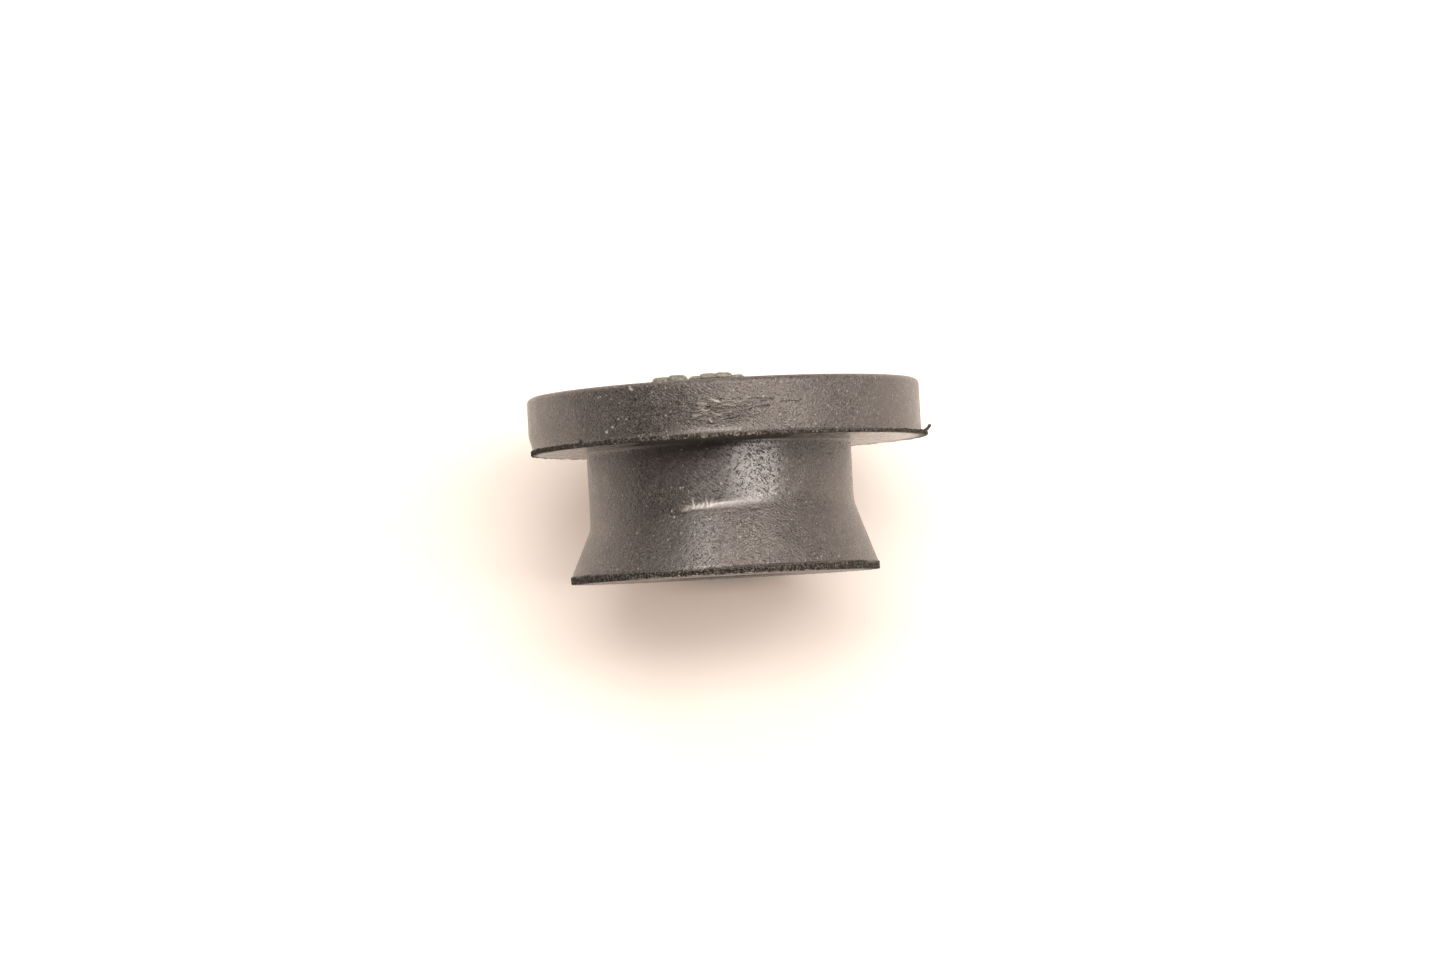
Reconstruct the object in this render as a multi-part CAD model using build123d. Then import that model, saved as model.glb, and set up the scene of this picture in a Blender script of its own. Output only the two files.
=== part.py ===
"""Rubber damper: a one-piece moulded spool that cushions a panel on its fixing.

The panel's hole closes round the neck, the flange takes the load above it and the flare keeps it from slipping
off below. A sleeve or screw passes up the bore.

The damper stands on its flared end. The origin is the centre of the bore in that end face, and +Z runs up the
bore towards the flange. Every size is in millimetres.
"""

import os

from build123d import *

# Bore, straight through the damper
bore_diameter = 8.0
bore_mouth_radius = 0.4

# Neck, the straight waist under the flange
neck_diameter = 16.2
neck_length = 4.2
neck_root_radius = 0.25

# Flare, the skirt that spreads from the foot of the neck to a narrow land at the end face
flare_overhang = 1.35
flare_height = 3.8
flare_bend_radius = 2.0
land_height = 0.45
land_step = 0.06

# Flange, the round pad at the top, moulded a little off the neck's axis towards +X
flange_overhang = 3.9
flange_thickness = 3.5
flange_edge_radius = 0.35
flange_shift = 0.43

# Flash, the thin fin that the mould's parting line leaves round the flange's lower rim
flash_reach = 0.25
flash_thickness = 0.25

# Radii and heights that follow from the sizes above
bore_radius = bore_diameter / 2
neck_radius = neck_diameter / 2
end_radius = neck_radius + flare_overhang
flange_radius = neck_radius + flange_overhang
seat_z = flare_height + neck_length
top_z = seat_z + flange_thickness

# A cylinder that stands on its location instead of round it
STANDING = (Align.CENTER, Align.CENTER, Align.MIN)


def spool():
    """Land, flare and neck turned about the bore's axis, with the neck's core run up through the flange."""
    core_radius = neck_radius + flange_overhang / 2
    land_top = (end_radius - land_step, land_height)
    bend = (neck_radius, flare_height)
    root = (neck_radius, seat_z)
    under_flange = (core_radius, seat_z)
    with BuildPart() as body:
        with BuildSketch(Plane.XZ):
            with BuildLine():
                Polyline((0, 0), (end_radius, 0), (end_radius, land_height), land_top)
                FilletPolyline(land_top, bend, root, under_flange, radius=[flare_bend_radius, neck_root_radius])
                Polyline(under_flange, (core_radius, top_z), (0, top_z), (0, 0))
            make_face()
        revolve(axis=Axis.Z)
    return body.part


def flange():
    """Round pad with a softened top edge and its fin of flash, on the flange's own centre."""
    with BuildPart() as pad:
        with Locations((flange_shift, 0, seat_z)):
            Cylinder(flange_radius, flange_thickness, align=STANDING)
        fillet(pad.faces().sort_by(Axis.Z)[-1].edges(), radius=flange_edge_radius)
        with Locations((flange_shift, 0, seat_z)):
            Cylinder(flange_radius + flash_reach, flash_thickness, align=STANDING)
    return pad.part


def damper():
    """Spool and flange as one piece of rubber, bored through, with both mouths of the bore rounded."""
    with BuildPart() as piece:
        add(spool())
        add(flange())
        Cylinder(bore_radius, top_z, align=STANDING, mode=Mode.SUBTRACT)
        bore_wall = piece.faces().filter_by(GeomType.CYLINDER).sort_by(lambda face: face.radius)[0]
        fillet(bore_wall.edges().filter_by(GeomType.CIRCLE), radius=bore_mouth_radius)
    return piece.part


os.makedirs("parts", exist_ok=True)
export_step(damper(), "parts/damper.step")
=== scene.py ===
"""Rubber damper: the finished look of the moulded spool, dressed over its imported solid.

Sizes are in millimetres in the classes and become metres as a mesh is made. The damper stands on its
flared end at z = 0, its bore runs up Z and its front faces -Y. A bearing is an angle round Z in degrees, 0
at the front and growing towards +X.
"""

import logging
import math
from dataclasses import dataclass
from enum import Enum

import bmesh
import bpy
from bmesh.types import BMesh, BMVert
from bpy.types import Material, Node, NodeSocket, NodeTree, Object
from mathutils import Matrix, Quaternion, Vector, noise


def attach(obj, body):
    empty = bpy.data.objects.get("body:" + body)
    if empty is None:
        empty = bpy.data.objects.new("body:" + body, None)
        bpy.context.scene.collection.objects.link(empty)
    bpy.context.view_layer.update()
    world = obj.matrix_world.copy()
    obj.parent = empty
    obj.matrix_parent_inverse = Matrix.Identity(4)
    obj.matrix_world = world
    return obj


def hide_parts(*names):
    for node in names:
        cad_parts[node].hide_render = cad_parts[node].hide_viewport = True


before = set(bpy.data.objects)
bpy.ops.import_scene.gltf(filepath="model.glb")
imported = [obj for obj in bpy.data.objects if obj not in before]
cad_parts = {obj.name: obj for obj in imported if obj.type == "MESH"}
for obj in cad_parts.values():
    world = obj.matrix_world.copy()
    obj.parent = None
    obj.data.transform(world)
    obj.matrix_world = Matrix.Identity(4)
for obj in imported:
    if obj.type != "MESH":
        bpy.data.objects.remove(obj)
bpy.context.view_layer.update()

MM = 0.001
NODE = "damper"
BODY = "root"
WHITE = (1.0, 1.0, 1.0, 1.0)
ORIGIN = (0.0, 0.0, 0.0)
UP = (0.0, 0.0, 1.0)
Colour = tuple[float, float, float, float]
Point = tuple[float, float, float]

logging.basicConfig(level=logging.INFO, format="%(name)s: %(message)s")
LOG = logging.getLogger("damper")


def smooth_rise(low: float, high: float, value: float) -> float:
    """Return 0 at low, 1 at high and a smooth change between them; low may be the larger."""
    share = min(1.0, max(0.0, (value - low) / (high - low)))
    return share * share * (3.0 - 2.0 * share)


def hump(middle: float, half_width: float, value: float) -> float:
    """Return a smooth bump that is 1 at the middle and 0 beyond half_width from it."""
    return smooth_rise(half_width, 0.0, abs(value - middle))


def lumps(place: Vector, size: float, pattern: float = 0.0) -> float:
    """Return steady noise of about -1 to 1 with lumps of a size; the pattern picks another of its kind."""
    return noise.noise(place / size + Vector((pattern, -pattern, 2.0 * pattern)))


def around(radius: float, bearing: float, height: float) -> Vector:
    """Return the point at a radius, a bearing in degrees and a height."""
    angle = math.radians(bearing)
    return Vector((radius * math.sin(angle), -radius * math.cos(angle), height))


def only_verts(parts: list) -> list[BMVert]:
    """Return the vertices among the parts that a bmesh operator gives back."""
    return [part for part in parts if isinstance(part, BMVert)]


def round_off(mesh: BMesh, parts: list, offset: float, steps: int, affect: str) -> None:
    """Round off the given vertices or edges; affect says which they are, as bmesh does."""
    shape = {"offset_type": "OFFSET", "profile": 0.5, "material": -1}
    bmesh.ops.bevel(mesh, geom=parts, offset=offset, segments=steps, affect=affect, **shape)


def add_object(name: str, data: bpy.types.ID) -> Object:
    """Add an object to the scene.

    Args:
        name: Name of the object.
        data: Its mesh, lamp or camera.

    Returns:
        The new object, at the origin.
    """
    made = bpy.data.objects.new(name, data)
    bpy.context.scene.collection.objects.link(made)
    return made


def add_mesh(mesh: BMesh, name: str, *materials: Material) -> Object:
    """Add a mesh to the scene.

    Args:
        mesh: The finished bmesh, which is freed.
        name: Name of the mesh and the object.
        *materials: Its materials, in the order of the faces' indices.

    Returns:
        The new object, at the origin.
    """
    data = bpy.data.meshes.new(name)
    mesh.to_mesh(data)
    mesh.free()
    for material in materials:
        data.materials.append(material)
    return add_object(name, data)


def finish_piece(mesh: BMesh, name: str, *materials: Material) -> Object:
    """Turn a bmesh in millimetres into a smooth, dressed object that moves with the damper.

    Args:
        mesh: The finished bmesh, which is freed.
        name: Name of the new object.
        *materials: Its materials, in the order of the faces' indices.

    Returns:
        The new object, at the origin.
    """
    bmesh.ops.remove_doubles(mesh, verts=mesh.verts[:], dist=1e-5)
    bmesh.ops.recalc_face_normals(mesh, faces=mesh.faces[:])
    bmesh.ops.scale(mesh, vec=(MM, MM, MM), verts=mesh.verts[:])
    for face in mesh.faces:
        face.smooth = True
    piece = add_mesh(mesh, name, *materials)
    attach(piece, BODY)
    LOG.info("%s: %d faces", name, len(piece.data.polygons))
    return piece


class Layer(Enum):
    """Point attributes of the body that its finish reads."""

    TORN = "torn"
    # pale: pale crumbs on the torn flash; pale fluff and a painted highlight along the bottom edge; a
    # painted highlight along the neck's root
    PALE = "pale"
    COARSE = "coarse"
    SLEEK = "sleek"
    # painted shade: darker, duller skin where shade falls under the flange and on the neck, and on the top
    # face against its glare
    PAINTED_SHADE = "painted_shade"


class Canvas:
    """A node tree being drawn, with a short method for each node that the finishes use."""

    MEASURES = ("LENGTH", "DOT_PRODUCT")

    def __init__(self, tree: NodeTree) -> None:
        """Start on the emptied tree of a material, a world or a shader group."""
        self.tree = tree
        self.tree.nodes.clear()

    def node(self, kind: str, inputs: dict | None = None, **settings: object) -> Node:
        """Add a node.

        Args:
            kind: Blender's name of the node type.
            inputs: Values or sockets for the inputs, by name or number.
            **settings: Properties of the node.

        Returns:
            The new node.
        """
        made = self.tree.nodes.new(kind)
        for name, value in settings.items():
            setattr(made, name, value)
        for key, value in (inputs or {}).items():
            if isinstance(value, NodeSocket):
                self.tree.links.new(value, made.inputs[key])
            else:
                made.inputs[key].default_value = value
        return made

    def math(self, operation: str, *values: object, clamp: bool = False) -> NodeSocket:
        """Add a Math node and return its result."""
        inputs = dict(enumerate(values))
        return self.node("ShaderNodeMath", inputs, operation=operation, use_clamp=clamp).outputs[0]

    def times(self, first: object, second: object, clamp: bool = False) -> NodeSocket:
        """Multiply two values and return the product."""
        return self.math("MULTIPLY", first, second, clamp=clamp)

    def vector(self, operation: str, *values: object) -> NodeSocket:
        """Add a Vector Math node and return its result."""
        outputs = self.node("ShaderNodeVectorMath", dict(enumerate(values)), operation=operation).outputs
        return outputs["Value" if operation in self.MEASURES else "Vector"]

    def rise(
        self, value: object, low: float, high: float, start: float = 0.0, end: float = 1.0
    ) -> NodeSocket:
        """Add a smooth Map Range node and return its result."""
        inputs = {"Value": value, "From Min": low, "From Max": high, "To Min": start, "To Max": end}
        return self.node("ShaderNodeMapRange", inputs, interpolation_type="SMOOTHSTEP").outputs["Result"]

    def noise(self, place: object, size: object, detail: float = 3.0, roughness: float = 0.55) -> NodeSocket:
        """Add noise.

        Args:
            place: Point where it is read.
            size: Width of a lump in metres.
            detail: How many finer layers it has.
            roughness: How strong each finer layer is.

        Returns:
            The noise's value.
        """
        scale = self.math("DIVIDE", 1.0, size) if isinstance(size, NodeSocket) else 1.0 / size
        inputs = {"Vector": place, "Scale": scale, "Detail": detail, "Roughness": roughness}
        return self.node("ShaderNodeTexNoise", inputs).outputs["Fac"]

    def mix(self, share: object, first: object, second: object) -> NodeSocket:
        """Mix two colours and return the result."""
        inputs = {"Factor": share, 6: first, 7: second}
        return self.node("ShaderNodeMix", inputs, data_type="RGBA").outputs[2]


class ShaderGroup:
    """A named shader node group with declared inputs and value outputs."""

    def __init__(self, name: str, inputs: dict[str, float | None], outputs: tuple[str, ...]) -> None:
        """Create the group and its sockets.

        Args:
            name: Name of the group.
            inputs: Default of each input, or None for a vector.
            outputs: Names of the outputs.
        """
        self.tree = bpy.data.node_groups.new(name, "ShaderNodeTree")
        sockets = self.tree.interface
        for label, default in inputs.items():
            if default is None:
                sockets.new_socket(label, in_out="INPUT", socket_type="NodeSocketVector")
            else:
                value = sockets.new_socket(label, in_out="INPUT", socket_type="NodeSocketFloat")
                value.default_value = default
        for label in outputs:
            sockets.new_socket(label, in_out="OUTPUT", socket_type="NodeSocketFloat")
        self.canvas = Canvas(self.tree)
        self.source = self.canvas.node("NodeGroupInput").outputs
        self.sink = self.canvas.node("NodeGroupOutput").inputs

    def give(self, label: str, value: NodeSocket) -> None:
        """Link a value to an output."""
        self.tree.links.new(value, self.sink[label])

    def wrinkles(self, slant: float, stretch: float, size: object, roughness: float) -> NodeSocket:
        """Draw noise stretched along a slant.

        Args:
            slant: Rise of the wrinkles towards +X, in degrees.
            stretch: How fast the noise changes along a wrinkle, as a share of its pace across.
            size: Width of a wrinkle in metres.
            roughness: How strong the noise's finer layer is.

        Returns:
            The noise's value.
        """
        turn = {"Vector": self.source["Place"], "Rotation": (0.0, math.radians(slant), 0.0)}
        turned = self.canvas.node("ShaderNodeMapping", turn).outputs["Vector"]
        stretched = self.canvas.vector("MULTIPLY", turned, (stretch, 1.0, 1.0))
        return self.canvas.noise(stretched, size, 2.0, roughness)

    def place(self, canvas: Canvas, inputs: dict) -> Node:
        """Put the group into a material's canvas and return its node."""
        return canvas.node("ShaderNodeGroup", inputs, node_tree=self.tree)


class LeatherGrain(ShaderGroup):
    """Short crossing wrinkles, soft lumps and the fine tooth of an aged moulded skin."""

    SLANTS = (52.0, -34.0)
    STRETCH = 0.24
    TURN_SIZE = 1.2
    TOOTH_SIZE = 0.085
    WRINKLE_SHARE = 0.55
    LUMP_SHARE = 0.25
    TOOTH_SHARE = 0.33
    CREST_RISE = (0.43, 0.57)

    def __init__(self) -> None:
        """Draw the group."""
        inputs = {"Place": None, "Wrinkle": 0.09 * MM, "Lump": 0.26 * MM}
        super().__init__("leather grain", inputs, ("Height", "Crest"))
        canvas, place = self.canvas, self.source["Place"]
        size = self.source["Wrinkle"]
        rising, falling = (self.wrinkles(slant, self.STRETCH, size, 0.55) for slant in self.SLANTS)
        turn = canvas.rise(canvas.noise(place, self.TURN_SIZE * MM, 1.0), 0.40, 0.60)
        wrinkles = canvas.node("ShaderNodeMix", {0: turn, 2: rising, 3: falling}).outputs[0]
        soft = canvas.noise(place, self.source["Lump"], 2.0, 0.5)
        tooth = canvas.noise(place, self.TOOTH_SIZE * MM, 2.0, 0.6)
        height = canvas.times(soft, self.LUMP_SHARE)
        height = canvas.math("MULTIPLY_ADD", wrinkles, self.WRINKLE_SHARE, height)
        self.give("Height", canvas.math("MULTIPLY_ADD", tooth, self.TOOTH_SHARE, height))
        ridges = canvas.times(canvas.math("ADD", tooth, wrinkles), 0.5)
        self.give("Crest", canvas.rise(ridges, *self.CREST_RISE))


@dataclass(frozen=True)
class Dots:
    """One kind of speck: the spacing of its cells, the share of them with one, and its relative width."""

    spacing: float
    share: float
    width: float


class Specks(ShaderGroup):
    """Scattered dots, used for pale dust and for dark pits."""

    LEAST_WIDTH = 0.35
    DOME = 0.5

    def __init__(self) -> None:
        """Draw the group."""
        inputs = {"Place": None, "Spacing": 0.8 * MM, "Share": 0.3, "Width": 0.1}
        super().__init__("specks", inputs, ("Mask",))
        canvas = self.canvas
        scale = canvas.math("DIVIDE", 1.0, self.source["Spacing"])
        cells = canvas.node("ShaderNodeTexVoronoi", {"Vector": self.source["Place"], "Scale": scale})
        pick = canvas.node("ShaderNodeSeparateColor", {"Color": cells.outputs["Color"]}).outputs
        chosen = canvas.math("LESS_THAN", pick[0], self.source["Share"])
        reach = canvas.times(self.source["Width"], canvas.math("ADD", pick[1], self.LEAST_WIDTH))
        gap = canvas.math("DIVIDE", cells.outputs["Distance"], reach)
        near = canvas.math("SUBTRACT", 1.0, gap, clamp=True)
        self.give("Mask", canvas.times(chosen, canvas.math("POWER", near, self.DOME)))

    def mask(self, canvas: Canvas, place: NodeSocket, dots: Dots) -> NodeSocket:
        """Put one kind of speck into a material's canvas and return its mask."""
        inputs = {"Place": place, "Spacing": dots.spacing * MM, "Share": dots.share, "Width": dots.width}
        return self.place(canvas, inputs).outputs["Mask"]


@dataclass(frozen=True)
class Crease:
    """One wrinkle or fleck, from one bearing and height to another."""

    start: tuple[float, float]
    end: tuple[float, float]
    width: float
    height: float


def dot(bearing: float, height: float, width: float, strength: float) -> Crease:
    """Return a round fleck at a bearing and height."""
    return Crease((bearing, height), (bearing, height), width, strength)


class Unrolled(ShaderGroup):
    """Lines and dots drawn at their places on the unrolled side of the spool."""

    RADIUS = 10.0
    WANDER_SIZE = 0.9
    BREAK_SIZE = 0.4
    BREAK_RISE = (0.36, 0.52)

    def __init__(self, name: str, creases: tuple[Crease, ...], stray: float, whole: float) -> None:
        """Draw the group.

        Args:
            name: Name of the group.
            creases: The lines; a negative height is a groove.
            stray: How far the lines wander, in millimetres.
            whole: Height that a line keeps where it breaks off, from 0 to 1.
        """
        super().__init__(name, {"Place": None}, ("Height",))
        canvas, place = self.canvas, self.source["Place"]
        parts = canvas.node("ShaderNodeSeparateXYZ", {"Vector": place}).outputs
        bearing = canvas.math("ARCTAN2", parts["X"], canvas.times(parts["Y"], -1.0))
        wander = canvas.math("SUBTRACT", canvas.noise(place, self.WANDER_SIZE * MM, 2.0), 0.5)
        across = canvas.times(bearing, self.RADIUS * MM)
        upwards = canvas.math("MULTIPLY_ADD", wander, stray * MM, parts["Z"])
        unrolled = canvas.node("ShaderNodeCombineXYZ", {"X": across, "Y": upwards}).outputs["Vector"]
        heights = 0.0
        for crease in creases:
            heights = canvas.math("ADD", heights, self._line(unrolled, crease))
        breaks = canvas.rise(canvas.noise(place, self.BREAK_SIZE * MM, 2.0), *self.BREAK_RISE, whole, 1.0)
        self.give("Height", canvas.times(heights, breaks))

    def _flat(self, spot: tuple[float, float]) -> Vector:
        """Return the unrolled place of a bearing and height."""
        return Vector((math.radians(spot[0]) * self.RADIUS, spot[1], 0.0)) * MM

    def _line(self, unrolled: NodeSocket, crease: Crease) -> NodeSocket:
        """Draw one line.

        Args:
            unrolled: Place on the unrolled side.
            crease: The line.

        Returns:
            Its height, which is 0 away from it.
        """
        canvas = self.canvas
        start, end = self._flat(crease.start), self._flat(crease.end)
        run = end - start
        gap = canvas.vector("SUBTRACT", unrolled, start)
        if run.length > 0.0:
            along = canvas.vector("DOT_PRODUCT", gap, run / run.length_squared)
            along = canvas.math("ADD", along, 0.0, clamp=True)
            foot = canvas.node("ShaderNodeVectorMath", {0: run, "Scale": along}, operation="SCALE")
            gap = canvas.vector("SUBTRACT", gap, foot.outputs["Vector"])
        length = canvas.vector("LENGTH", gap)
        return canvas.rise(length, crease.width * MM, 0.0, 0.0, crease.height)


class Scuff(ShaderGroup):
    """A scuffed patch of long shallow wrinkles, with soft edges."""

    SLANT = 7.0
    STRETCH = 0.13
    REACH = (3.0, 9.0, 0.95)
    EDGE = (1.15, 0.4)
    RUBBED = (0.52, 0.64)

    def __init__(self) -> None:
        """Draw the group."""
        super().__init__("scuff", {"Place": None, "Middle": None, "Across": 0.10 * MM}, ("Height", "Mask"))
        canvas, place = self.canvas, self.source["Place"]
        wrinkles = self.wrinkles(self.SLANT, self.STRETCH, self.source["Across"], 0.6)
        offset = canvas.vector("SUBTRACT", place, self.source["Middle"])
        reach = tuple(side * MM for side in self.REACH)
        offset = canvas.vector("DIVIDE", offset, reach)
        patch = canvas.rise(canvas.vector("LENGTH", offset), *self.EDGE)
        self.give("Height", canvas.times(wrinkles, patch))
        self.give("Mask", canvas.times(canvas.rise(wrinkles, *self.RUBBED), patch))


@dataclass(frozen=True)
class RubberFinish:
    """Aged moulded rubber, with its grain, dust, pits and wrinkles, and the painted shade and painted
    highlights that the body's layers call for.
    """

    name: str
    colour: Colour = (0.0245, 0.0203, 0.0185, 1.0)
    faded: Colour = (0.036, 0.0306, 0.0276, 1.0)
    roughness: float = 0.28
    refraction: float = 2.0
    specular_level: float = 0.38
    coat_roughness: float = 0.3
    specular_tint: Colour = (1.0, 0.935, 0.885, 1.0)
    bloom: float = 0.06
    bloom_tint: Colour = (1.0, 0.88, 0.76, 1.0)
    sheen_roughness: float = 0.45
    gloss_spread: tuple[float, float] = (-0.04, 0.05)
    coarse_roughness: float = 0.04
    torn_roughness: float = 0.62
    sleek_polish: float = 0.45
    crest_polish: float = 1.3
    plain_relief: float = 1.05
    grain_height: float = 0.095
    torn_height: float = 0.12
    pit_depth: float = 0.03
    speck_height: float = 0.01
    cloud_size: float = 2.4
    wear_size: float = 1.3
    grit_size: float = 0.11
    salt: tuple[float, float] = (0.05, 2.9)
    dust: Dots = Dots(0.25, 0.40, 0.22)
    dust_share: float = 0.55
    flecks: Dots = Dots(0.9, 0.35, 0.07)
    fleck_share: float = 0.9
    pits: Dots = Dots(0.7, 0.25, 0.09)
    pit_share: float = 0.8
    scuff_height: float = 0.16
    scuff_share: float = 0.24
    scuff_middle: Point = (0.1 * MM, -12.0 * MM, 9.6 * MM)
    torn_and_shade_colour: Colour = (0.016, 0.0138, 0.0125, 1.0)
    crumb_colour: Colour = (0.19, 0.168, 0.14, 1.0)
    pale_colour: Colour = (0.55, 0.49, 0.40, 1.0)
    dust_and_highlight_colour: Colour = (0.52, 0.48, 0.43, 1.0)

    def material(
        self, grain: LeatherGrain, specks: Specks, wear: tuple[Unrolled, Unrolled, Scuff] | None = None
    ) -> Material:
        """Draw the material.

        Args:
            grain: Group that gives the leathery skin.
            specks: Group that gives dust and pits.
            wear: Groups with the wrinkles, the pale dust flecks and painted highlights, and the scuff of a
                piece, or None where it has none.

        Returns:
            The new material.
        """
        made = bpy.data.materials.new(self.name)
        made.use_nodes = True
        canvas = Canvas(made.node_tree)
        place = canvas.node("ShaderNodeTexCoord").outputs["Object"]
        torn, pale, coarse, sleek, painted_shade = (
            canvas.node("ShaderNodeAttribute", attribute_name=layer.value).outputs["Fac"] for layer in Layer
        )
        skin = grain.place(canvas, {"Place": place}).outputs
        kinds = (self.dust, self.flecks, self.pits)
        dust, flecks, pits = (specks.mask(canvas, place, dots) for dots in kinds)

        # Colour
        clouds = canvas.noise(place, self.cloud_size * MM, 4.0, 0.6)
        salt = canvas.noise(place, self.grit_size * MM, 2.0, 0.7)
        shade = canvas.rise(salt, 0.36, 0.64, *self.salt)
        shade = canvas.node("ShaderNodeCombineXYZ", {0: shade, 1: shade, 2: shade}).outputs[0]
        colour = canvas.mix(canvas.rise(clouds, 0.3, 0.7), self.colour, self.faded)
        colour = canvas.vector("MULTIPLY", colour, shade)
        crumbs = canvas.rise(canvas.noise(place, self.grit_size * MM, 3.0, 0.7), 0.46, 0.68)
        colour = canvas.mix(torn, colour, canvas.mix(crumbs, self.torn_and_shade_colour, self.crumb_colour))
        # The pale layer: pale crumbs and fluff, and painted highlights along the bottom edge and the neck's
        # root.
        paleness = canvas.times(pale, canvas.rise(salt, 0.35, 0.55))
        colour = canvas.mix(paleness, colour, self.pale_colour)
        # Painted shade: the painted shade layer darkens the colour towards the torn colour, as the pits do.
        darkening = canvas.math("MAXIMUM", painted_shade, canvas.times(pits, self.pit_share))
        colour = canvas.mix(darkening, colour, self.torn_and_shade_colour)
        colour = canvas.mix(canvas.times(dust, self.dust_share), colour, self.dust_and_highlight_colour)
        colour = canvas.mix(canvas.times(flecks, self.fleck_share), colour, self.dust_and_highlight_colour)

        # Gloss
        least, most = (self.roughness + spread for spread in self.gloss_spread)
        gloss = canvas.rise(canvas.noise(place, self.wear_size * MM, 3.0), 0.3, 0.7, least, most)
        rough = canvas.math("SUBTRACT", coarse, sleek)
        gloss = canvas.math("MULTIPLY_ADD", rough, self.coarse_roughness, gloss)
        dull = canvas.math("MAXIMUM", torn, painted_shade)
        gloss = canvas.math("MULTIPLY_ADD", dull, self.torn_roughness, gloss, clamp=True)
        crests = canvas.times(canvas.times(coarse, skin["Crest"]), self.crest_polish)
        polish = canvas.math("MULTIPLY_ADD", sleek, self.sleek_polish, crests)
        polish = canvas.times(polish, canvas.math("SUBTRACT", 1.0, painted_shade), clamp=True)

        # Relief
        relief = canvas.times(canvas.math("ADD", rough, self.plain_relief), self.grain_height)
        height = canvas.times(skin["Height"], relief)
        height = canvas.math("MULTIPLY_ADD", canvas.times(torn, salt), self.torn_height, height)
        height = canvas.math("MULTIPLY_ADD", pits, -self.pit_depth, height)
        height = canvas.math("MULTIPLY_ADD", canvas.math("ADD", dust, flecks), self.speck_height, height)
        if wear:
            wrinkles, dust_and_highlight_marks, scuff = wear
            height = canvas.math("ADD", height, wrinkles.place(canvas, {"Place": place}).outputs["Height"])
            rubbed = scuff.place(canvas, {"Place": place, "Middle": self.scuff_middle}).outputs
            height = canvas.math("MULTIPLY_ADD", rubbed["Height"], self.scuff_height, height)
            scuffed = canvas.times(rubbed["Mask"], self.scuff_share)
            colour = canvas.mix(scuffed, colour, self.dust_and_highlight_colour)
            # Pale dust flecks and painted highlights, mixed in as pale colour.
            dust_and_highlights = dust_and_highlight_marks.place(canvas, {"Place": place}).outputs["Height"]
            colour = canvas.mix(dust_and_highlights, colour, self.dust_and_highlight_colour)
        bump = canvas.node("ShaderNodeBump", {"Height": height, "Strength": 1.0, "Distance": MM})
        shader = canvas.node(
            "ShaderNodeBsdfPrincipled",
            {
                "Base Color": colour,
                "Roughness": gloss,
                "IOR": self.refraction,
                "Specular IOR Level": self.specular_level,
                "Specular Tint": self.specular_tint,
                "Coat Weight": polish,
                "Coat Roughness": self.coat_roughness,
                "Coat IOR": self.refraction,
                "Sheen Weight": self.bloom,
                "Sheen Roughness": self.sheen_roughness,
                "Sheen Tint": self.bloom_tint,
                "Normal": bump.outputs["Normal"],
            },
        )
        canvas.node("ShaderNodeOutputMaterial", {"Surface": shader.outputs["BSDF"]})
        return made


@dataclass(frozen=True)
class Corner:
    """A corner of the spool's section, which is spun round the bore's axis."""

    radius: float
    height: float
    rounding: float = 0.0
    steps: int = 1


@dataclass(frozen=True)
class Patch:
    """A worn, dusty or swollen patch: its middle and half width as bearings, and its strength."""

    middle: float
    half_width: float
    strength: float = 1.0

    def at(self, bearing: float) -> float:
        """Return the patch's strength at a bearing."""
        return self.strength * hump(self.middle, self.half_width, bearing)


@dataclass(frozen=True)
class Bumps:
    """Noise that moves a surface: how far, the width of its lumps, and an offset that picks its pattern."""

    reach: float
    size: float
    pattern: float = 0.0

    def at(self, spot: Vector) -> float:
        """Return how far the surface moves at a point."""
        return self.reach * lumps(spot, self.size, self.pattern)


def total(spot: Vector, kinds: tuple[Bumps, ...]) -> float:
    """Return the sum of several kinds of unevenness at a point."""
    return sum(kind.at(spot) for kind in kinds)


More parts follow.
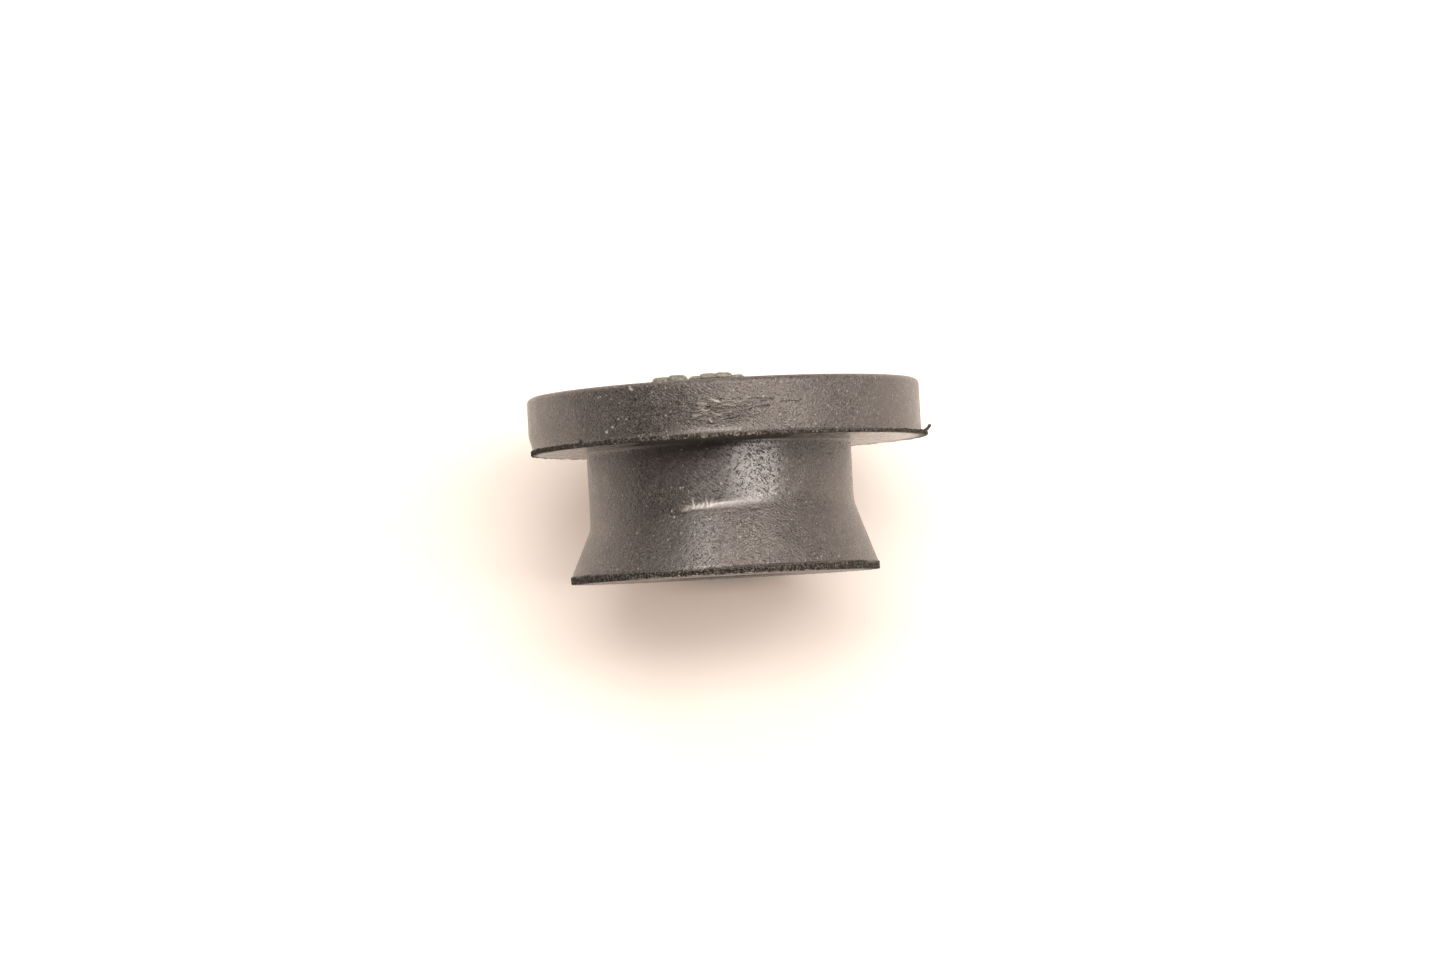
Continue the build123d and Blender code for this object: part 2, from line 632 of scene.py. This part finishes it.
@dataclass
class SpoolBody:
    """The one-piece moulding: bore, flared end, neck and the flange that the mould set off centre."""

    bore_radius: float = 4.0
    mouth_rounding: float = 0.4
    end_radius: float = 9.45
    land_radius: float = 9.39
    land_height: float = 0.45
    neck_radius: float = 8.1
    bend_height: float = 3.8
    bend_rounding: float = 2.0
    root_rounding: float = 0.25
    seat_height: float = 8.0
    flash_radius: float = 12.25
    flash_thickness: float = 0.22
    flange_radius: float = 12.02
    top_height: float = 11.5
    top_rounding: float = 0.35
    flange_shift: float = 0.43
    flash_shift: float = 0.12
    lip_width: float = 0.16
    top_painted_shade: float = 0.75
    neck_wear: tuple[Patch, ...] = (Patch(5.0, 36.0, 1.1), Patch(-3.0, 14.0, 0.4), Patch(14.0, 16.0, 0.5))
    flare_wear: Patch = Patch(-14.0, 19.0, 1.5)
    bend_polish: Patch = Patch(-2.0, 32.0, 1.15)
    bend_bump: Patch = Patch(30.0, 36.0, 0.20)
    root_highlight: Patch = Patch(21.0, 18.0)
    neck_top_shade: Patch = Patch(-4.0, 46.0)
    left_side_shade: Patch = Patch(-14.0, 18.0, 0.4)
    seat_polish: float = 0.85
    seat_shade: float = 0.97
    smear: Patch = Patch(-6.0, 18.0)
    smear_push: float = 0.10
    smear_polish: float = 0.7
    flash_swells: tuple[Patch, ...] = (Patch(-28.0, 36.0, 0.10), Patch(-70.0, 36.0, 0.08))
    flash_fluff: Patch = Patch(-4.0, 34.0, 0.4)
    lip_swell: Patch = Patch(-2.0, 34.0, 0.04)
    lip_pale_reach: float = 42.0
    skin_bumps: tuple[Bumps, ...] = (Bumps(0.02, 3.2), Bumps(0.008, 0.9, 3.0))
    flange_bumps: tuple[Bumps, ...] = (Bumps(0.015, 3.5, 5.0),)
    flash_tears: tuple[Bumps, ...] = (Bumps(0.10, 0.35, 7.0), Bumps(0.06, 0.16, 9.0))
    flash_ripple: Bumps = Bumps(0.05, 0.4, 11.0)
    land_bumps: tuple[Bumps, ...] = (Bumps(0.03, 0.3, 13.0), Bumps(0.015, 0.14, 15.0))
    land_waves: tuple[Bumps, ...] = (Bumps(0.06, 0.6, 19.0), Bumps(0.16, 1.7, 23.0))
    lip_ripple: Bumps = Bumps(0.05, 0.5, 17.0)
    hidden_pitch: float = 0.7
    bore_pitch: float = 1.4
    land_pitch: float = 0.11
    seat_pitch: float = 0.4
    skin_pitch: float = 0.24
    doublings: int = 4
    wedge_steps: int = 40

    def corners(self) -> tuple[Corner, ...]:
        """Return the section's corners, from the bore's lower mouth outwards and up."""
        return (
            Corner(self.bore_radius, 0.0, self.mouth_rounding, 3),
            Corner(self.end_radius - self.lip_width, 0.0),
            Corner(self.end_radius, 0.0, 0.06, 2),
            Corner(self.end_radius, self.land_height, 0.03, 2),
            Corner(self.land_radius, self.land_height + 0.02),
            Corner(self.land_radius - 0.015, self.land_height + 0.07),
            Corner(self.neck_radius, self.bend_height, self.bend_rounding, 12),
            Corner(self.neck_radius, self.seat_height, self.root_rounding, 5),
            Corner(self.flash_radius, self.seat_height, 0.05, 2),
            Corner(self.flash_radius, self.seat_height + self.flash_thickness, 0.05, 2),
            Corner(self.flange_radius, self.seat_height + self.flash_thickness),
            Corner(self.flange_radius, self.top_height, self.top_rounding, 6),
            Corner(self.bore_radius, self.top_height, self.mouth_rounding, 3),
        )

    def pitch(self, middle: Vector) -> float:
        """Return how long a division of the section may be near a point of it.

        Args:
            middle: Middle of a straight run of the section.

        Returns:
            The longest division in millimetres.
        """
        if middle.x < self.neck_radius - 0.5:
            return self.bore_pitch if abs(middle.x - self.bore_radius) < 0.1 else self.hidden_pitch
        if middle.z < self.land_height + 0.1:
            return self.land_pitch
        if middle.x > self.neck_radius + 0.1 and abs(middle.z - self.seat_height) < 0.05:
            return self.seat_pitch
        return self.skin_pitch

    def section(self) -> BMesh:
        """Draw the closed section at y = 0.

        Returns:
            A bmesh of edges alone.
        """
        mesh = bmesh.new()
        corners = self.corners()
        verts = [mesh.verts.new((corner.radius, 0.0, corner.height)) for corner in corners]
        for first, second in zip(verts, verts[1:] + verts[:1]):
            mesh.edges.new((first, second))
        for index, (vert, corner) in enumerate(zip(verts, corners)):
            if corner.rounding:
                near = corners[index - 1], corners[(index + 1) % len(corners)]
                arms = [Vector((end.radius - corner.radius, end.height - corner.height)) for end in near]
                reach = corner.rounding / math.tan(arms[0].angle(arms[1]) / 2.0)
                round_off(mesh, [vert], reach, corner.steps, "VERTICES")
        for edge in mesh.edges[:]:
            cuts = int(edge.calc_length() / self.pitch((edge.verts[0].co + edge.verts[1].co) / 2.0))
            if cuts:
                bmesh.ops.subdivide_edges(mesh, edges=[edge], cuts=cuts)
        return mesh

    def bend_rise(self, bearing: float) -> float:
        """Return how far the bend lies above its plain height at a bearing in degrees."""
        angle = math.radians(bearing)
        return 0.45 * math.sin(angle) + 0.46 * math.cos(angle) - 0.05 + self.bend_bump.at(bearing)

    def _side_skin(self, spot: Vector, bearing: float, side: float) -> dict[Layer, float]:
        """Return the layers of the neck and flare.

        Args:
            spot: Place before any move.
            bearing: Its bearing in degrees.
            side: Its height above the underside of the flange, which is negative.

        Returns:
            The layers that aren't 0 there.
        """
        bend = self.bend_height
        foot = bend + 0.15 - 0.5 * smooth_rise(-2.0, 22.0, bearing)
        wear = sum(patch.at(bearing) for patch in self.neck_wear) * smooth_rise(foot, foot + 0.5, spot.z)
        wear += self.flare_wear.at(bearing) * smooth_rise(bend - 0.1, bend - 0.5, spot.z)
        # Painted highlight: the pale layer draws a thin bright line along the root under the flange, right
        # of the front, and the painted shade is cleared under it.
        dust = self.root_highlight.at(bearing) * hump(-0.12, 0.09, side)
        # Painted shade: a dark band on the neck just under the flange, widest in front and to the left, and
        # a fainter painted shade down the neck's front left.
        edge = smooth_rise(-0.75 + 0.01 * bearing, -0.35 + 0.005 * bearing, side)
        darkening = self.neck_top_shade.at(bearing) * edge
        left_shade = self.left_side_shade.at(bearing) * smooth_rise(-3.2, -0.8, side)
        return {
            Layer.PALE: dust,
            Layer.PAINTED_SHADE: max(darkening, left_shade) * (1.0 - dust),
            Layer.COARSE: wear,
            Layer.SLEEK: self.bend_polish.at(bearing) * hump(bend + 0.05, 0.6, spot.z),
        }

    def settle(self, vert: BMVert) -> dict[Layer, float]:
        """Move one vertex of the spun section to where the real moulding has it.

        Args:
            vert: The vertex, which is moved.

        Returns:
            The value of each layer there.
        """
        spot = vert.co.copy()
        radius, height = math.hypot(spot.x, spot.y), spot.z
        out = Vector((spot.x / radius, spot.y / radius, 0.0))
        bearing = math.degrees(math.atan2(spot.x, -spot.y))
        side = height - self.seat_height
        skin = dict.fromkeys(Layer, 0.0)
        # On the flange's underside: sleek all round, with painted shade at the front.
        if abs(side) < 1e-3:
            front = smooth_rise(6.2, 4.2, abs(spot.x + 0.6)) * smooth_rise(0.0, -4.0, spot.y)
            skin.update({Layer.SLEEK: self.seat_polish, Layer.PAINTED_SHADE: self.seat_shade * front})
        # Painted shade on the top face: darker and duller, to hold down its glare.
        if height > self.top_height - 0.03:
            skin[Layer.PAINTED_SHADE] = self.top_painted_shade
        if radius < self.neck_radius - 0.4:
            return skin
        push, lift, shift = 0.0, 0.0, 0.0

        # Neck and flare
        if side < -1e-4 and height > self.land_height:
            share = (height - self.land_height) / (self.bend_height - self.land_height)
            share = share if share < 1.0 else side / (self.bend_height - self.seat_height)
            lift += self.bend_rise(bearing) * share
            push += total(spot, self.skin_bumps)
            skin.update(self._side_skin(spot, bearing, side))

        # Flange and the flash round its lower rim
        if side > -1e-4:
            away = smooth_rise(self.neck_radius + 0.4, self.flange_radius - 1.0, radius)
            shift += self.flange_shift * away
            if radius > self.flange_radius - 0.5:
                push += total(spot, self.flange_bumps)
                push -= 0.2 * smooth_rise(0.15, 0.9, -out.x) * smooth_rise(1.3, 0.2, side)
                smear = self.smear.at(bearing) * smooth_rise(0.8, 0.35, side)
                push += self.smear_push * smear
                skin[Layer.SLEEK] = self.smear_polish * smear
            if radius > self.flange_radius - 0.1 and side > self.flash_thickness * 0.6:
                swell = sum(patch.at(bearing) for patch in self.flash_swells)
                lift += swell * smooth_rise(2.2, self.flash_thickness, side)
            if radius > self.flange_radius + 0.01 and side < self.flash_thickness + 0.02:
                torn = smooth_rise(self.flange_radius, self.flange_radius + 0.1, radius)
                push += torn * (total(spot, self.flash_tears) - 0.02)
                shift += torn * self.flash_shift
                lift += torn * self.flash_ripple.at(spot)
                paleness = torn * smooth_rise(0.25, 0.5, lumps(spot, 0.4, 31.0)) * self.flash_fluff.at(bearing)
                skin.update({Layer.TORN: torn, Layer.SLEEK: 0.0, Layer.PALE: paleness})

        # Land and the lip under it
        if height < self.land_height + 0.03 and radius > self.end_radius - 0.3:
            skin.update({Layer.TORN: 1.0, Layer.COARSE: 0.0})
            push += total(spot, self.land_bumps)
            if height > self.land_height - 0.15:
                lift += total(spot, self.land_waves) - 0.07
            if height < 0.1:
                lift += abs(self.lip_ripple.at(spot))
            # Pale fluff and a painted highlight along the bottom edge at the front.
            if height < 0.04 and radius > self.end_radius - 0.1:
                push += self.lip_swell.at(bearing)
                paleness = smooth_rise(1.0, 0.8, abs(bearing) / self.lip_pale_reach)
                skin[Layer.PALE] = paleness * (0.9 + 1.2 * lumps(spot, 0.5, 27.0))
        vert.co = spot + out * push + Vector((shift, 0.0, lift))
        return skin

    def build(self, smooth: Material, torn: Material) -> Object:
        """Spin the section, move it to its worn shape and stand it for the CAD node.

        Args:
            smooth: Finish of the moulded skin.
            torn: Finish of the torn flash, of the cut edge of the flared end and of the front of the
                flange's underside, where it deepens the painted shade.

        Returns:
            The new object.
        """
        mesh = self.section()
        bmesh.ops.spin(
            mesh, geom=mesh.verts[:] + mesh.edges[:], cent=ORIGIN, axis=UP, dvec=ORIGIN,
            angle=math.tau / 2**self.doublings, steps=self.wedge_steps, use_merge=False,
        )
        for doubling in range(self.doublings, 0, -1):
            copied = bmesh.ops.duplicate(mesh, geom=mesh.verts[:] + mesh.edges[:] + mesh.faces[:])["geom"]
            turn = Matrix.Rotation(math.tau / 2**doubling, 3, "Z")
            bmesh.ops.rotate(mesh, verts=only_verts(copied), cent=ORIGIN, matrix=turn)
        bmesh.ops.remove_doubles(mesh, verts=mesh.verts[:], dist=1e-5)
        for layer in Layer:
            mesh.verts.layers.float.new(layer.value)
        stores = {layer: mesh.verts.layers.float[layer.value] for layer in Layer}
        for vert in mesh.verts:
            for layer, share in self.settle(vert).items():
                vert[stores[layer]] = share
        # Faces of the flange's underside with deep painted shade take the torn finish, whose duller gloss
        # darkens them further.
        for face in mesh.faces:
            torn_there = min(vert[stores[Layer.TORN]] for vert in face.verts) > 0.5
            deep_shade = min(vert[stores[Layer.PAINTED_SHADE]] for vert in face.verts) > 0.8
            overhead = min(vert.co.z for vert in face.verts) > self.seat_height - 0.01
            face.material_index = int(torn_there or (deep_shade and overhead))
        piece = finish_piece(mesh, "moulded_spool", smooth, torn)
        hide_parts(NODE)
        return piece


@dataclass(frozen=True)
class Bar:
    """One raised bar: its bearing in degrees, its length along the rim and its height."""

    bearing: float
    length: float
    height: float


@dataclass
class RaisedMarks:
    """A plain row of low worn bars on the flange's top, close behind its front edge."""

    ring_radius: float = 10.7
    width: float = 0.9
    sunk: float = 0.25
    rounding: float = 0.3
    rounding_steps: int = 5
    top_height: float = 11.5
    flange_shift: float = 0.43
    wear: Bumps = Bumps(0.06, 0.7)
    bars: tuple[Bar, ...] = (
        Bar(-19.3, 1.15, 0.30),
        Bar(-14.2, 1.20, 0.36),
        Bar(-8.3, 0.90, 0.22),
        Bar(-4.4, 1.10, 0.33),
        Bar(0.4, 1.15, 0.34),
        Bar(4.6, 0.90, 0.22),
    )

    def build(self, material: Material) -> Object:
        """Make the bars as one piece.

        Args:
            material: The bars' finish.

        Returns:
            The new object.
        """
        mesh = bmesh.new()
        for bar in self.bars:
            others = set(mesh.verts)
            made = bmesh.ops.create_cube(mesh, size=1.0)["verts"]
            tall = bar.height + self.sunk
            bmesh.ops.scale(mesh, vec=(bar.length, self.width, tall), verts=made)
            edges = {edge for vert in made for edge in vert.link_edges}
            round_off(mesh, list(edges), self.rounding, self.rounding_steps, "EDGES")
            fresh = [vert for vert in mesh.verts if vert not in others]
            centre = around(self.ring_radius, bar.bearing, self.top_height - self.sunk + tall / 2.0)
            centre.x += self.flange_shift
            turn = Matrix.Rotation(math.radians(bar.bearing), 4, "Z")
            bmesh.ops.transform(mesh, matrix=Matrix.Translation(centre) @ turn, verts=fresh)
            for vert in fresh:
                vert.co.z += self.wear.at(vert.co)
        return finish_piece(mesh, "raised_marks", material)


@dataclass
class FlashThread:
    """The loose thread of rubber that the mould left at the right end of the flash line."""

    foot: Point = (12.45, -0.6, 8.25)
    thickness: float = 0.2
    bow: float = 0.55
    sweep: float = 75.0
    steps: int = 14
    sides: int = 10
    taper: float = 0.5
    wobble: Bumps = Bumps(0.04, 0.25)
    wobble_way: Point = (1.0, 0.4, 0.6)

    def build(self, material: Material) -> Object:
        """Sweep a small round section along an arc and thin it towards its tip.

        Args:
            material: The thread's finish.

        Returns:
            The new object.
        """
        mesh = bmesh.new()
        foot = Vector(self.foot)
        radius = self.thickness / 2.0
        ring = bmesh.ops.create_circle(mesh, cap_ends=True, radius=radius, segments=self.sides)
        upright = Matrix.Translation(foot) @ Matrix.Rotation(math.radians(90.0), 4, "Y")
        bmesh.ops.transform(mesh, matrix=upright, verts=ring["verts"])
        swept = bmesh.ops.spin(
            mesh, geom=mesh.faces[:], cent=foot + Vector(UP) * self.bow, axis=(0.0, 1.0, 0.0), dvec=ORIGIN,
            angle=-math.radians(self.sweep), steps=self.steps, use_merge=False,
        )
        ends = only_verts(swept["geom_last"])
        tip = sum((vert.co for vert in ends), Vector()) / len(ends)
        bmesh.ops.scale(mesh, vec=(self.taper,) * 3, space=Matrix.Translation(-tip), verts=ends)
        for vert in mesh.verts:
            vert.co += Vector(self.wobble_way) * self.wobble.at(vert.co)
        return finish_piece(mesh, "flash_thread", material)


@dataclass(frozen=True)
class Lamp:
    """A soft rectangular lamp that faces the part."""

    name: str
    bearing: float
    elevation: float
    size: tuple[float, float]
    power: float
    colour: Point = (1.0, 0.91, 0.85)
    distance: float = 300.0

    def hang(self, aim: Vector) -> None:
        """Hang the lamp.

        Args:
            aim: Point in millimetres that it faces.
        """
        data = bpy.data.lights.new(self.name, "AREA")
        data.shape = "RECTANGLE"
        data.size, data.size_y = (side * MM for side in self.size)
        data.energy = self.power
        data.color = self.colour
        lamp = add_object(self.name, data)
        rise = math.radians(self.elevation)
        place = aim + around(self.distance * math.cos(rise), self.bearing, self.distance * math.sin(rise))
        lamp.location = place * MM
        lamp.rotation_mode = "QUATERNION"
        lamp.rotation_quaternion = (aim - place).to_track_quat("-Z", "Y")


@dataclass
class Studio:
    """Camera, lamps, world, pale floor and the sheet behind the part that takes its soft shadow."""

    camera_place: Point = (0.13, -253.5, -3.5)
    camera_target: Point = (0.13, 0.0, 6.03)
    camera_roll: float = 3.1
    photo_width: float = 1445.0
    focal_pixels: float = 4140.0
    sensor: float = 36.0
    lamps: tuple[Lamp, ...] = (
        Lamp("main_lamp", 12.5, 20.5, (460.0, 85.0), 0.78),
        Lamp("upper_lamp", 1.0, 38.0, (280.0, 95.0), 0.20),
        Lamp("right_lamp", 32.5, 2.0, (252.0, 130.0), 0.43),
        Lamp("top_lamp", -15.0, 62.0, (300.0, 150.0), 0.28),
        Lamp("far_lamp", 66.0, 12.0, (150.0, 200.0), 0.06),
    )
    lamp_aim: Point = (0.0, 0.0, 6.0)
    fill: float = 0.28
    room_front: float = 0.12
    room_rear: float = 0.85
    room_colour: Colour = (1.0, 0.92, 0.84, 1.0)
    floor_size: float = 1600.0
    floor_drop: float = 0.02
    floor_glow: Colour = (0.45, 0.42, 0.40, 1.0)
    floor_paper: Colour = (0.80, 0.79, 0.78, 1.0)
    rear_glow: Colour = (0.24, 0.16, 0.115, 1.0)
    rear_paper: Colour = (0.85, 0.83, 0.80, 1.0)
    sheet_gap: float = 9.45
    sheet_slope: float = 0.37
    shade_reach: float = 1.0
    white_from: float = 50.0
    white_at: float = 200.0

    def camera(self) -> None:
        """Place the camera at the photograph's angle."""
        data = bpy.data.cameras.new("camera")
        data.sensor_width = self.sensor
        data.lens = self.sensor * self.focal_pixels / self.photo_width
        data.clip_start = 0.01
        data.clip_end = 20.0
        camera = add_object("camera", data)
        place, target = Vector(self.camera_place) * MM, Vector(self.camera_target) * MM
        aim = (target - place).to_track_quat("-Z", "Y")
        camera.location = place
        camera.rotation_mode = "QUATERNION"
        camera.rotation_quaternion = aim @ Quaternion((0.0, 0.0, 1.0), -math.radians(self.camera_roll))
        bpy.context.scene.camera = camera

    def world(self) -> None:
        """Make a pale room: white to the camera, and brighter to the gloss behind the part than in front."""
        world = bpy.data.worlds.new("room")
        bpy.context.scene.world = world
        world.use_nodes = True
        canvas = Canvas(world.node_tree)
        path = canvas.node("ShaderNodeLightPath").outputs
        toward = canvas.node("ShaderNodeTexCoord").outputs["Generated"]
        depth = canvas.node("ShaderNodeSeparateXYZ", {0: toward}).outputs["Y"]
        gloss = canvas.rise(depth, -0.3, 0.25, self.room_front, self.room_rear)
        mirrored = canvas.math("MAXIMUM", path["Is Glossy Ray"], path["Is Transmission Ray"])
        strength = canvas.node("ShaderNodeMix", {0: mirrored, 2: self.fill, 3: gloss}).outputs[0]
        strength = canvas.math("MAXIMUM", strength, path["Is Camera Ray"])
        colour = canvas.mix(path["Is Camera Ray"], self.room_colour, WHITE)
        background = canvas.node("ShaderNodeBackground", {"Color": colour, "Strength": strength})
        canvas.node("ShaderNodeOutputWorld", {"Surface": background.outputs["Background"]})

    def _one_sided(self, name: str, behind: bool, glow: Colour, paper: Colour) -> Material:
        """Draw a pale sheet that is clear from behind and shows to the camera alone.

        Args:
            name: Name of the material.
            behind: Whether it shows only where a view comes up through the floor.
            glow: Colour that the sheet gives off.
            paper: Colour that takes light and shadow.

        Returns:
            The new material.
        """
        made = bpy.data.materials.new(name)
        made.use_nodes = True
        canvas = Canvas(made.node_tree)
        place = canvas.node("ShaderNodeTexCoord").outputs["Object"]
        away = canvas.rise(canvas.vector("LENGTH", place), self.white_from * MM, self.white_at * MM)
        shaded = {"Color": canvas.mix(away, glow, WHITE), "Distance": self.shade_reach * MM}
        shaded = canvas.node("ShaderNodeAmbientOcclusion", shaded).outputs["Color"]
        lit = canvas.node("ShaderNodeBsdfDiffuse", {"Color": paper}).outputs["BSDF"]
        glowing = canvas.node("ShaderNodeEmission", {"Color": shaded, "Strength": 1.0}).outputs["Emission"]
        sheet = canvas.node("ShaderNodeAddShader", {0: lit, 1: glowing}).outputs[0]
        clear = canvas.node("ShaderNodeBsdfTransparent").outputs["BSDF"]
        hidden = canvas.node("ShaderNodeNewGeometry").outputs["Backfacing"]
        if behind:
            height = canvas.node("ShaderNodeSeparateXYZ", {0: place}).outputs["Z"]
            above = canvas.math("GREATER_THAN", height, -self.floor_drop * MM)
            path = canvas.node("ShaderNodeLightPath").outputs
            first = canvas.math("LESS_THAN", path["Transparent Depth"], 0.5)
            direct = canvas.times(path["Is Camera Ray"], first)
            hidden = canvas.math("MAXIMUM", hidden, canvas.times(above, direct))
        mixed = canvas.node("ShaderNodeMixShader", {0: hidden, 1: sheet, 2: clear}).outputs[0]
        canvas.node("ShaderNodeOutputMaterial", {"Surface": mixed})
        return made

    def _sheet(self, name: str, matrix: Matrix, material: Material, mirrored: bool) -> None:
        """Make one flat stage sheet.

        Args:
            name: Name of the object.
            matrix: Turn and place of the sheet, in millimetres.
            material: Its finish.
            mirrored: Whether the part's gloss shows it.
        """
        mesh = bmesh.new()
        bmesh.ops.create_grid(mesh, x_segments=2, y_segments=2, size=self.floor_size / 2.0)
        bmesh.ops.transform(mesh, matrix=Matrix.Scale(MM, 4) @ matrix, verts=mesh.verts[:])
        sheet = add_mesh(mesh, name, material)
        sheet.visible_diffuse = False
        sheet.visible_glossy = mirrored
        sheet.visible_transmission = False
        sheet.visible_shadow = False

    def stage(self) -> None:
        """Lay the floor and lean the sheet behind the part."""
        floor = self._one_sided("floor paper", False, self.floor_glow, self.floor_paper)
        self._sheet("floor", Matrix.Translation((0.0, 0.0, -self.floor_drop)), floor, False)
        rear = self._one_sided("rear paper", True, self.rear_glow, self.rear_paper)
        upright = Matrix.Rotation(math.radians(90.0) - math.atan(self.sheet_slope), 4, "X")
        self._sheet("rear_sheet", Matrix.Translation((0.0, self.sheet_gap, 0.0)) @ upright, rear, True)

    def build(self) -> None:
        """Make the whole studio."""
        self.camera()
        for lamp in self.lamps:
            lamp.hang(Vector(self.lamp_aim))
        self.world()
        self.stage()
        bpy.context.scene.view_settings.view_transform = "Standard"


FRONT_CREASES = (
    Crease((4.5, 10.20), (15.1, 10.14), 0.07, -0.023),
    Crease((-5.9, 9.88), (1.7, 9.69), 0.08, -0.042),
    Crease((-3.2, 9.81), (-0.2, 9.54), 0.07, -0.038),
    Crease((6.9, 9.45), (14.6, 9.75), 0.08, -0.052),
    Crease((12.4, 9.94), (16.1, 10.11), 0.07, -0.033),
    Crease((17.4, 9.87), (24.0, 10.01), 0.07, -0.033),
    Crease((1.4, 8.90), (6.0, 9.13), 0.08, -0.052),
    Crease((2.0, 9.22), (5.0, 9.24), 0.07, -0.042),
    Crease((-1.8, 10.30), (0.9, 10.06), 0.08, 0.038),
    Crease((1.8, 10.12), (7.5, 10.04), 0.08, 0.033),
    Crease((-4.2, 9.67), (-2.4, 9.46), 0.08, 0.042),
    Crease((-0.9, 9.39), (0.6, 9.24), 0.08, 0.042),
    Crease((-2.3, 9.08), (-1.7, 8.89), 0.08, 0.038),
    Crease((1.7, 9.93), (5.2, 9.78), 0.08, 0.033),
    Crease((4.0, 9.35), (6.9, 9.45), 0.07, -0.038),
    Crease((-11.9, 4.15), (-12.3, 4.66), 0.10, 0.03),
    Crease((-10.9, 4.20), (-10.6, 4.50), 0.09, -0.03),
    Crease((-7.2, 4.14), (-7.2, 4.56), 0.09, -0.04),
    Crease((-6.2, 4.20), (-6.6, 4.56), 0.09, 0.03),
    Crease((-5.0, 4.22), (-4.4, 4.50), 0.09, 0.02),
    Crease((53.5, 7.06), (57.0, 6.99), 0.10, -0.06),
    Crease((20.0, 3.1), (30.0, 3.0), 0.09, -0.012),
)

DUST_AND_HIGHLIGHT_MARKS = (
    # Painted highlights: bright strokes along the crease where the neck meets the flare, and a faint bright
    # band along it.
    Crease((-11.9, 4.05), (-12.3, 4.62), 0.14, 0.60),
    Crease((-10.4, 4.06), (-9.5, 4.30), 0.19, 0.34),
    Crease((-8.3, 4.10), (-7.6, 4.34), 0.18, 0.36),
    Crease((-5.9, 4.12), (-6.3, 4.50), 0.16, 0.50),
    Crease((-4.8, 4.15), (-4.0, 4.44), 0.17, 0.36),
    Crease((-14.8, 3.98), (-14.2, 4.20), 0.14, 0.40),
    Crease((-2.8, 4.20), (-1.8, 4.46), 0.17, 0.26),
    Crease((0.2, 4.26), (1.4, 4.50), 0.17, 0.18),
    Crease((-16.5, 3.98), (-4.0, 4.16), 0.20, 0.30),
    Crease((-5.0, 4.18), (6.0, 4.36), 0.13, 0.10),
    # Pale dust flecks on the flange, the flare and the neck.
    dot(-31.7, 9.03, 0.11, 1.0),
    Crease((-34.3, 8.78), (-33.9, 8.74), 0.10, 1.0),
    dot(-35.4, 10.87, 0.08, 0.9),
    Crease((-24.9, 11.20), (-25.3, 11.33), 0.08, 0.8),
    Crease((-24.4, 11.10), (-25.0, 11.12), 0.09, 0.8),
    dot(-29.5, 9.47, 0.10, 0.8),
    dot(-26.8, 9.43, 0.10, 0.7),
    dot(17.7, 9.18, 0.09, 0.6),
    dot(-20.2, 3.61, 0.11, 1.0),
    dot(-21.4, 3.98, 0.09, 0.8),
    dot(-22.4, 3.70, 0.07, 0.7),
    dot(-37.0, 2.80, 0.08, 0.7),
    Crease((-6.8, 6.94), (-6.2, 6.90), 0.09, 0.5),
    # Painted highlights on the ridges of the flange's front wrinkles.
    Crease((-1.8, 10.26), (0.7, 10.12), 0.12, 0.49),
    Crease((-0.4, 10.12), (1.4, 10.06), 0.11, 0.38),
    Crease((1.8, 10.12), (7.5, 10.04), 0.09, 0.30),
    Crease((-5.0, 10.05), (-3.0, 10.00), 0.11, 0.41),
    Crease((1.7, 9.93), (5.2, 9.80), 0.10, 0.30),
    Crease((-6.7, 9.33), (-4.5, 9.36), 0.11, 0.41),
    Crease((-4.0, 9.66), (-2.8, 9.54), 0.12, 0.49),
    Crease((-0.9, 9.39), (0.6, 9.30), 0.12, 0.51),
    Crease((-2.2, 9.08), (-1.6, 8.96), 0.12, 0.43),
)


def main() -> None:
    """Build the damper and its studio."""
    grain, specks = LeatherGrain(), Specks()
    wrinkles = Unrolled("front wrinkles", FRONT_CREASES, stray=0.35, whole=0.4)
    # Pale dust flecks, and painted highlights on the crease and on the flange's wrinkles.
    flecks = Unrolled("dust and painted highlights", DUST_AND_HIGHLIGHT_MARKS, stray=0.12, whole=0.65)
    skin = RubberFinish("aged rubber").material(grain, specks, (wrinkles, flecks, Scuff()))
    raised = RubberFinish(
        "worn raised rubber",
        colour=(0.115, 0.118, 0.088, 1.0),
        faded=(0.19, 0.188, 0.145, 1.0),
        salt=(0.6, 1.4),
    ).material(grain, specks)
    # The torn finish also deepens the painted shade on the front of the flange's underside.
    torn = RubberFinish("torn rubber and painted underside shade", specular_level=0.12, bloom=0.02).material(grain, specks)
    pieces = [
        SpoolBody().build(skin, torn),
        RaisedMarks().build(raised),
        FlashThread().build(torn),
    ]
    Studio().build()
    LOG.info("built %d pieces: %s", len(pieces), ", ".join(piece.name for piece in pieces))


if __name__ == "__main__":
    main()
